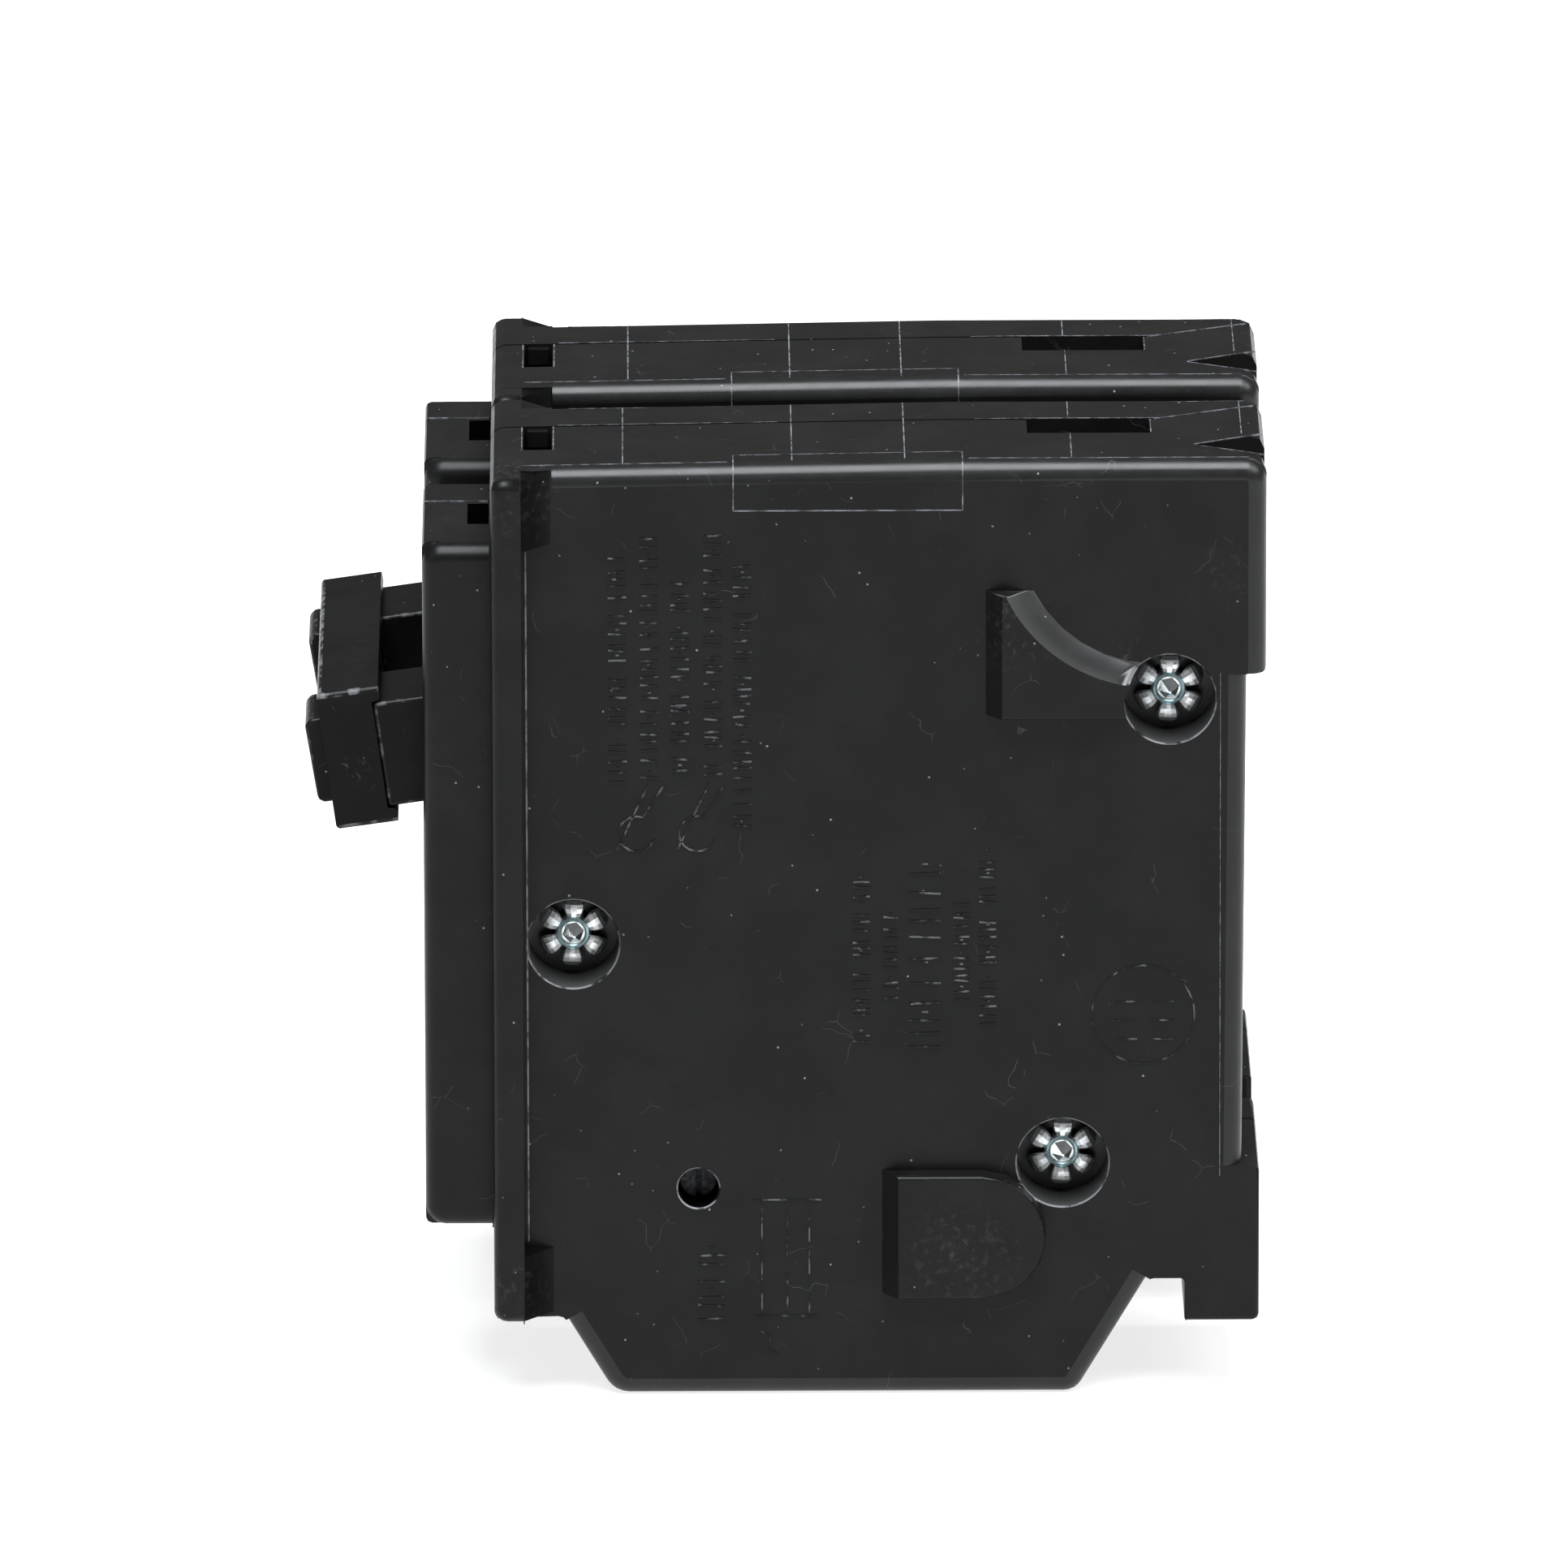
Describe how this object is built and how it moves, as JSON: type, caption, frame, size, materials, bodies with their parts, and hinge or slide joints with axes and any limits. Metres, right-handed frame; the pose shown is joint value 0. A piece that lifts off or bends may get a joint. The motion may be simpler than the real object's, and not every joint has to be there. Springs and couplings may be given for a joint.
{
  "type": "circuit breaker",
  "caption": "Two-pole plug-on circuit breaker with moulded case halves, tied toggle handles, curled rivets, stab jaws, load terminals and an internal trip mechanism.",
  "frame": {"origin": "centre of the footprint at the height of the flat load end", "axes": "+Z towards the line end with the jaws, -Y towards the handles, +Y towards the panel, +X towards the first pole's outer side"},
  "size_m": [0.0506, 0.0786, 0.0797],
  "materials": {
    "case_plastic": "satin moulded thermoset, near black, fine grain, pale worn edges",
    "handle_plastic": "satin moulded thermoplastic, near black",
    "bar_plastic": "matt moulded plastic",
    "rivet_zinc": "bright zinc plate, slightly blue",
    "zinc_plate": "zinc plated steel",
    "spring_steel": "plain steel",
    "copper": "bare copper strip",
    "copper_braid": "fine braided copper",
    "silver_contact": "silver alloy button",
    "bimetal": "rolled two-layer metal strip"
  },
  "bodies": {
    "case": {"case_base_1": "case_plastic", "case_cover_1": "case_plastic", "fixed_contact_1": "silver_contact", "line_jaw_1": "copper", "jaw_spring_1": "spring_steel", "bimetal_1": "bimetal", "magnet_yoke_1": "spring_steel", "pigtail_1": "copper_braid", "load_terminal_1": "copper", "calibration_screw_1": "zinc_plate", "case_base_2": "case_plastic", "case_cover_2": "case_plastic", "fixed_contact_2": "silver_contact", "line_jaw_2": "copper", "jaw_spring_2": "spring_steel", "bimetal_2": "bimetal", "magnet_yoke_2": "spring_steel", "pigtail_2": "copper_braid", "load_terminal_2": "copper", "calibration_screw_2": "zinc_plate", "case_rivet_1": "rivet_zinc", "case_rivet_2": "rivet_zinc", "case_rivet_3": "rivet_zinc"},
    "handles": {"handle_1": "handle_plastic", "handle_2": "handle_plastic", "handle_tie": "handle_plastic"},
    "trip_bar": {"common_trip_bar": "bar_plastic"},
    "arm_1": {"contact_arm_1": "copper", "moving_contact_1": "silver_contact"},
    "cradle_1": {"trip_lever_1": "spring_steel", "toggle_spring_1": "spring_steel"},
    "armature_plate_1": {"armature_1": "spring_steel"},
    "clamp_1": {"wire_clamp_1": "zinc_plate"},
    "screw_1": {"terminal_screw_1": "zinc_plate"},
    "arm_2": {"contact_arm_2": "copper", "moving_contact_2": "silver_contact"},
    "cradle_2": {"trip_lever_2": "spring_steel", "toggle_spring_2": "spring_steel"},
    "armature_plate_2": {"armature_2": "spring_steel"},
    "clamp_2": {"wire_clamp_2": "zinc_plate"},
    "screw_2": {"terminal_screw_2": "zinc_plate"}
  },
  "joints": [
    {"name": "handle_throw", "type": "hinge", "parent": "case", "child": "handles", "pos_m": [0, -0.01769, 0.0558], "axis": [-1, 0, 0], "range_deg": [-12, 26]},
    {"name": "common_trip", "type": "hinge", "parent": "case", "child": "trip_bar", "pos_m": [0, -0.00069, 0.0133], "axis": [-1, 0, 0], "range_deg": [0, 5], "stiffness_Nm_per_rad": 0.02},
    {"name": "arm_swing_1", "type": "hinge", "parent": "handles", "child": "arm_1", "pos_m": [0.0127, -0.00729, 0.05726], "axis": [-1, 0, 0], "range_deg": [-62, 29], "deforming": ["toggle_spring_1"]},
    {"name": "cradle_latch_1", "type": "hinge", "parent": "case", "child": "cradle_1", "pos_m": [0.0127, 0.01881, 0.0335], "axis": [-1, 0, 0], "range_deg": [0, 12], "stiffness_Nm_per_rad": 0.02, "deforming": ["toggle_spring_1"]},
    {"name": "armature_pull_1", "type": "hinge", "parent": "case", "child": "armature_plate_1", "pos_m": [0.0127, 0.00111, 0.0215], "axis": [1, 0, 0], "range_deg": [0, 5]},
    {"name": "clamp_travel_1", "type": "slide", "parent": "case", "child": "clamp_1", "axis": [0, 1, 0], "range_m": [0, 0.0024]},
    {"name": "screw_turn_1", "type": "hinge", "parent": "clamp_1", "child": "screw_1", "pos_m": [0.0127, -0.01589, 0.0112], "axis": [0, 1, 0], "range_deg": [0, 1080]},
    {"name": "arm_swing_2", "type": "hinge", "parent": "handles", "child": "arm_2", "pos_m": [-0.0127, -0.00729, 0.05726], "axis": [-1, 0, 0], "range_deg": [-62, 29], "deforming": ["toggle_spring_2"]},
    {"name": "cradle_latch_2", "type": "hinge", "parent": "case", "child": "cradle_2", "pos_m": [-0.0127, 0.01881, 0.0335], "axis": [-1, 0, 0], "range_deg": [0, 12], "stiffness_Nm_per_rad": 0.02, "deforming": ["toggle_spring_2"]},
    {"name": "armature_pull_2", "type": "hinge", "parent": "case", "child": "armature_plate_2", "pos_m": [-0.0127, 0.00111, 0.0215], "axis": [1, 0, 0], "range_deg": [0, 5]},
    {"name": "clamp_travel_2", "type": "slide", "parent": "case", "child": "clamp_2", "axis": [0, 1, 0], "range_m": [0, 0.0024]},
    {"name": "screw_turn_2", "type": "hinge", "parent": "clamp_2", "child": "screw_2", "pos_m": [-0.0127, -0.01589, 0.0112], "axis": [0, 1, 0], "range_deg": [0, 1080]}
  ],
  "couplings": [
    {"joint": "arm_swing_1", "follows": "handle_throw", "ratio": -2.3462},
    {"joint": "armature_pull_1", "follows": "common_trip", "ratio": 1},
    {"joint": "screw_turn_1", "follows": "clamp_travel_1", "rad_per_m": 7853.9},
    {"joint": "arm_swing_2", "follows": "handle_throw", "ratio": -2.3462},
    {"joint": "armature_pull_2", "follows": "common_trip", "ratio": 1},
    {"joint": "screw_turn_2", "follows": "clamp_travel_2", "rad_per_m": 7853.9}
  ]
}
